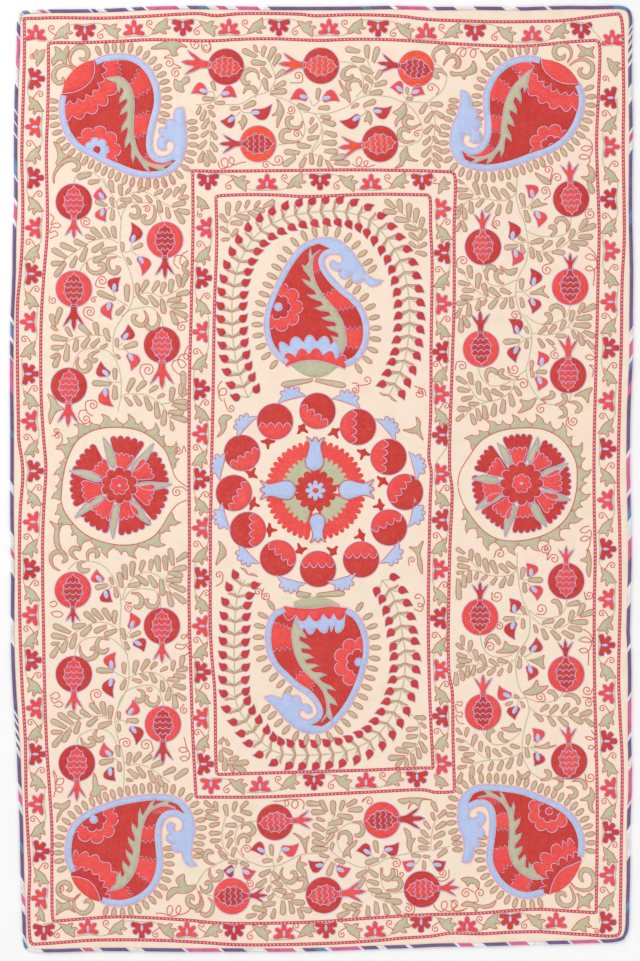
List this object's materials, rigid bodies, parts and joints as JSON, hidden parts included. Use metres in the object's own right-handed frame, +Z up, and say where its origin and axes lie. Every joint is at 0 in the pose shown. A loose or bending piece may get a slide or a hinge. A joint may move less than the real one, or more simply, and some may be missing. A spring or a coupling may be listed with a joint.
{
  "type": "embroidered textile",
  "caption": "Suzani: rectangular cream cloth, laid flat, with chain-stitched medallions, paisleys and flowers, edged with a narrow striped binding.",
  "frame": {"origin": "under the middle of the laid cloth, on the surface that it rests on", "axes": "+X across the width to the right edge as seen from above, +Y along the length to the top edge, +Z up off the surface, towards the embroidered face"},
  "size_m": [1.003, 1.5236, 0.0041],
  "materials": {
    "cream_cotton": "matt cream handwoven cotton, covered with silk and cotton chain stitch",
    "striped_binding": "soft sheen striped silk and cotton, mainly purple, cut on the bias"
  },
  "bodies": {
    "root": {"ground_cloth": "cream_cotton", "binding_top": "striped_binding", "binding_right": "striped_binding", "binding_bottom": "striped_binding", "binding_left": "striped_binding"}
  },
  "joints": []
}
